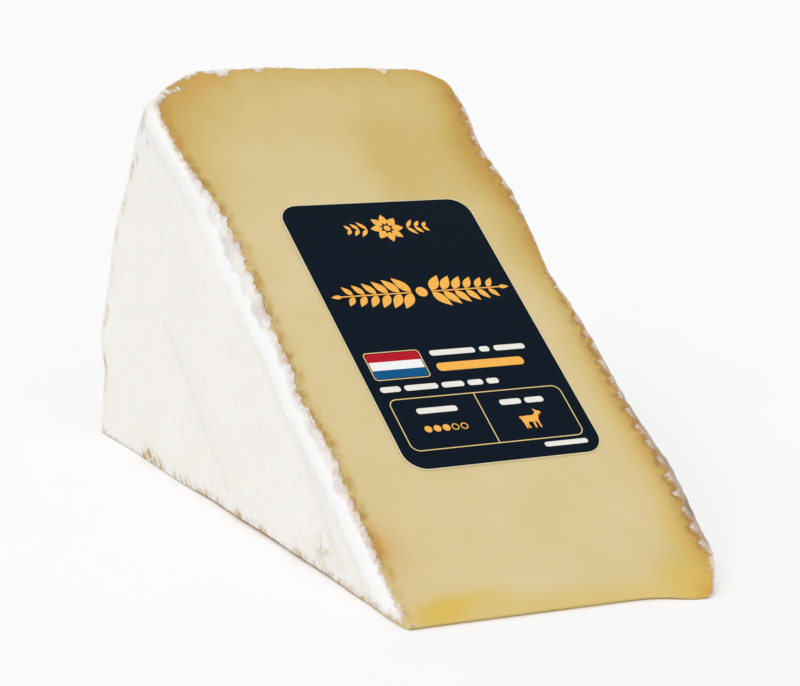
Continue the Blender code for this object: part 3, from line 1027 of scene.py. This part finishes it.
def rounded(x0, y0, x1, y1, corner, steps=8):
    """List the outline of a rectangle with round corners, anticlockwise."""
    points = arc((x1 - corner, y1 - corner), corner, 0, 90, steps)
    points += arc((x0 + corner, y1 - corner), corner, 90, 180, steps)
    points += arc((x0 + corner, y0 + corner), corner, 180, 270, steps)
    points += arc((x1 - corner, y0 + corner), corner, 270, 360, steps)
    return points


def rectangle(x0, y0, x1, y1):
    """List a rectangle's corners, anticlockwise."""
    return [(x0, y0), (x1, y0), (x1, y1), (x0, y1)]


def shrunk(box, by):
    """Move each side of a box inwards."""
    return (box[0] + by, box[1] + by, box[2] - by, box[3] - by)


class Print:
    """Gathers the label's printed shapes, each a thin solid, in one mesh."""

    def __init__(self):
        self.mesh = bmesh.new()
        self.materials = []

    def number(self, material):
        """Give a material's number in the mesh."""
        if material not in self.materials:
            self.materials.append(material)
        return self.materials.index(material)

    def solid(self, outline, material, low=INK_LOW, high=INK_HIGH):
        """Add the solid inside an outline."""
        bottom = [self.mesh.verts.new((x, y, low)) for x, y in outline]
        top = [self.mesh.verts.new((x, y, high)) for x, y in outline]
        made = [self.mesh.faces.new(top), self.mesh.faces.new(bottom[::-1])]
        for place in range(len(outline)):
            ahead = (place + 1) % len(outline)
            wall = (bottom[place], bottom[ahead], top[ahead], top[place])
            made.append(self.mesh.faces.new(wall))
        for face in made:
            face.material_index = self.number(material)

    def band(self, outer, inner, material):
        """Add the solid between two outlines of as many points."""
        rings = []
        for outline, levels in ((outer, (INK_LOW, INK_HIGH)), (inner, (INK_HIGH, INK_LOW))):
            for level in levels:
                rings.append([self.mesh.verts.new((x, y, level)) for x, y in outline])
        for ring, beside in zip(rings, rings[1:] + rings[:1]):
            for place in range(len(outer)):
                ahead = (place + 1) % len(outer)
                face = self.mesh.faces.new((ring[place], ring[ahead], beside[ahead], beside[place]))
                face.material_index = self.number(material)

    def piece(self, name, slot, *replaced):
        """Make the shapes a piece of the scene, laid down on the upper cut."""
        mesh = bpy.data.meshes.new(name)
        self.mesh.to_mesh(mesh)
        self.mesh.free()
        mesh.transform(label_matrix())
        for material in self.materials:
            mesh.materials.append(material)
        new_piece(name, mesh, slot, *replaced)


def from_top(distance):
    """Turn a distance from the label's upper edge into a height over its lower edge."""
    return LABEL_LENGTH - distance


def upright(box):
    """Turn a box measured from the label's upper edge into one measured from its lower edge."""
    left, top, right, bottom = box
    return (left, from_top(bottom), right, from_top(top))


def leaf(root, direction, length, width, steps=7):
    """List the outline of a leaf that grows from its root in a direction in degrees."""
    turn = math.radians(direction)
    ahead = (math.cos(turn), math.sin(turn))
    beside = (-ahead[1], ahead[0])
    points = []
    for side in (-1, 1):
        shares = np.linspace(0.0, 1.0, steps + 1)
        shares = shares[:-1] if side < 0 else shares[::-1][:-1]
        for share in shares:
            out = share * length
            half = side * width / 2 * math.sin(math.pi * share**0.8)
            points.append(tuple(root[i] + out * ahead[i] + half * beside[i] for i in (0, 1)))
    return points


def print_rosette(sheet, gold, centre, radius):
    """Print a small flower between two sprigs. Its sizes are shares of its radius."""
    petals = 8
    for petal in range(petals):
        turn = 360.0 * petal / petals
        root = arc(centre, 0.28 * radius, turn, turn, 1)[0]
        sheet.solid(leaf(root, turn, 0.74 * radius, 0.46 * radius), gold)
    sheet.solid(circle(centre, 0.2 * radius), gold)
    for side in (-1, 1):
        for step in range(3):
            root = (centre[0] + side * (1.25 + 0.5 * step) * radius, centre[1])
            for tilt in (-48, 48):
                direction = tilt if side > 0 else 180 - tilt
                length = (0.75 - 0.14 * step) * radius
                sheet.solid(leaf(root, direction, length, 0.24 * radius), gold)


def print_garland(sheet, gold, x0, x1, y, height):
    """Print two leafy branches that meet in the middle. Their leaves' sizes are shares of the
    height."""
    middle = (x0 + x1) / 2
    half = (x1 - x0) / 2
    stem = 0.11
    berry = height * 0.16
    sheet.solid(circle((middle, y), berry), gold)
    for side in (-1, 1):
        start = middle + side * berry * 1.8
        end = middle + side * half
        branch = rounded(min(start, end), y - stem, max(start, end), y + stem, 0.1, 3)
        sheet.solid(branch, gold)
        pairs = 6
        for pair in range(pairs):
            size = height * (0.62 - 0.05 * pair)
            root_x = start + (end - start) * pair / pairs
            for tilt in (-52, 52):
                direction = tilt if side > 0 else 180 - tilt
                root = (root_x, y + math.copysign(0.16, tilt))
                sheet.solid(leaf(root, direction, size, size * 0.44), gold)
        tip = leaf((end - side * 0.05, y), 0 if side > 0 else 180, height * 0.3, height * 0.13)
        sheet.solid(tip, gold)


def print_dashes(sheet, material, x, top, height, lengths, gap):
    """Print a row of plain dashes, as long as words, from the left."""
    y = from_top(top + height)
    for length in lengths:
        sheet.solid(rounded(x, y, x + length, y + height, height * 0.45, 4), material)
        x += length + gap


def print_frame(sheet, material, box, corner, width):
    """Print the line round a box with round corners."""
    inner = rounded(*shrunk(box, width), corner - width)
    sheet.band(rounded(*box, corner), inner, material)


def print_flag(sheet, inks):
    """Print a small flag of three level stripes, with a line round it."""
    box = upright(FLAG)
    print_frame(sheet, inks["line"], box, FLAG_CORNER, FLAG_LINE)
    x0, y0, x1, y1 = shrunk(box, 2 * FLAG_LINE)
    stripe = (y1 - y0) / len(FLAG_STRIPES)
    for place, name in enumerate(FLAG_STRIPES):
        low = y0 + place * stripe
        sheet.solid(rectangle(x0, low, x1, low + stripe), inks[name])


def print_box(sheet, inks):
    """Print the divided box, with its row of dots on the left and its goat on the right."""
    box = upright(BOX)
    print_frame(sheet, inks["line"], box, BOX_CORNER, BOX_LINE)
    _, y0, _, y1 = shrunk(box, BOX_LINE)
    half = BOX_LINE / 2
    sheet.solid(rectangle(BOX_DIVIDE - half, y0, BOX_DIVIDE + half, y1), inks["line"])
    for dot in range(DOTS):
        centre = (DOTS_PLACE[0] + DOT_PITCH * dot, from_top(DOTS_PLACE[1]))
        if dot < FULL_DOTS:
            sheet.solid(circle(centre, DOT_RADIUS), inks["gold"])
        else:
            sheet.band(circle(centre, DOT_RADIUS), circle(centre, DOT_HOLE), inks["gold"])
    x0, y0 = GOAT_FOOT[0], from_top(GOAT_FOOT[1])
    wide, high = GOAT_SIZE
    sheet.solid([(x0 + wide * x, y0 + high * y) for x, y in reversed(GOAT)], inks["gold"])


def make_label():
    """Make the sticker, and the plain shapes printed on it."""
    inks = {name: ink(name + "_ink", colour) for name, colour in INKS.items()}

    sticker = Print()
    whole = (0.0, 0.0, LABEL_WIDTH, LABEL_LENGTH)
    film = rounded(*whole, LABEL_CORNER, 16)
    sticker.solid(film, ink("sticker_film", STICKER_EDGE), STICKER_LOW, STICKER_HIGH)
    field = rounded(*shrunk(whole, STICKER_RIM), LABEL_CORNER - STICKER_RIM, 16)
    sticker.solid(field, inks["navy"], STICKER_HIGH - OVERLAP, FIELD_HIGH)
    sticker.piece("label_sticker", "label", "label")

    sheet = Print()
    across, top = ROSETTE_PLACE
    print_rosette(sheet, inks["gold"], (across, from_top(top)), ROSETTE_RADIUS)
    print_garland(sheet, inks["gold"], *GARLAND_ENDS, from_top(GARLAND_TOP), GARLAND_HEIGHT)
    print_flag(sheet, inks)
    print_box(sheet, inks)
    for name, *row in DASHES:
        print_dashes(sheet, inks[name], *row)
    sheet.piece("label_print", "label")


# The floor's width in metres, and the light
FLOOR_SIZE = 8.0
AMBIENT_STRENGTH = 0.80
KEY_STRENGTH = 0.9
KEY_SPREAD = 50.0
KEY_DIRECTION = (0.57, 0.44, -0.69)


def make_floor():
    """Lay a plain pale floor under the wedge."""
    bpy.ops.mesh.primitive_plane_add(size=FLOOR_SIZE)
    floor = bpy.context.object
    floor.name = "floor"
    r = Recipe("floor")
    grain = r.noise(r.place(), 40.0, 2.0)
    r.set(Base_Color=r.mix(grain, screen(252, 252, 252), screen(249, 249, 249)))
    r.set(Roughness=0.9, Specular_IOR_Level=0.0)
    floor.data.materials.append(r.material)


def make_lights():
    """Light the scene evenly from all round, and a little more from above on the left."""
    world = bpy.data.worlds.new("studio")
    bpy.context.scene.world = world
    world.use_nodes = True
    background = world.node_tree.nodes["Background"]
    background.inputs["Color"].default_value = (1.0, 1.0, 1.0, 1.0)
    background.inputs["Strength"].default_value = AMBIENT_STRENGTH
    light = bpy.data.lights.new("key", "SUN")
    light.energy = KEY_STRENGTH
    light.angle = math.radians(KEY_SPREAD)
    lamp = bpy.data.objects.new("key", light)
    bpy.context.scene.collection.objects.link(lamp)
    lamp.rotation_euler = Vector(KEY_DIRECTION).to_track_quat("-Z", "Y").to_euler()


# The camera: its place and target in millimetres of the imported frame, its turn about the view
# in degrees, and its lens and sensor
CAMERA_PLACE = (-175.23, -297.55, 102.38)
CAMERA_TARGET = (0.08, -1.62, 23.42)
CAMERA_ROLL = 3.86
CAMERA_LENS = 113.7
CAMERA_SENSOR = 36.0
CAMERA_NEAREST = 0.01


def make_camera():
    """Set the camera where the photo was taken from."""
    data = bpy.data.cameras.new("camera")
    data.lens = CAMERA_LENS
    data.sensor_width = CAMERA_SENSOR
    data.clip_start = CAMERA_NEAREST
    camera = bpy.data.objects.new("camera", data)
    bpy.context.scene.collection.objects.link(camera)
    place = Vector(CAMERA_PLACE) * MM
    view = Vector(CAMERA_TARGET) * MM - place
    facing = view.to_track_quat("-Z", "Y").to_matrix().to_4x4()
    roll = Matrix.Rotation(math.radians(CAMERA_ROLL), 4, "Z")
    camera.matrix_world = Matrix.Translation(place) @ facing @ roll
    bpy.context.scene.camera = camera


make_camera()
make_floor()
make_lights()
make_wedge(cheese_material())
make_label()
bpy.context.scene.view_settings.view_transform = "Standard"
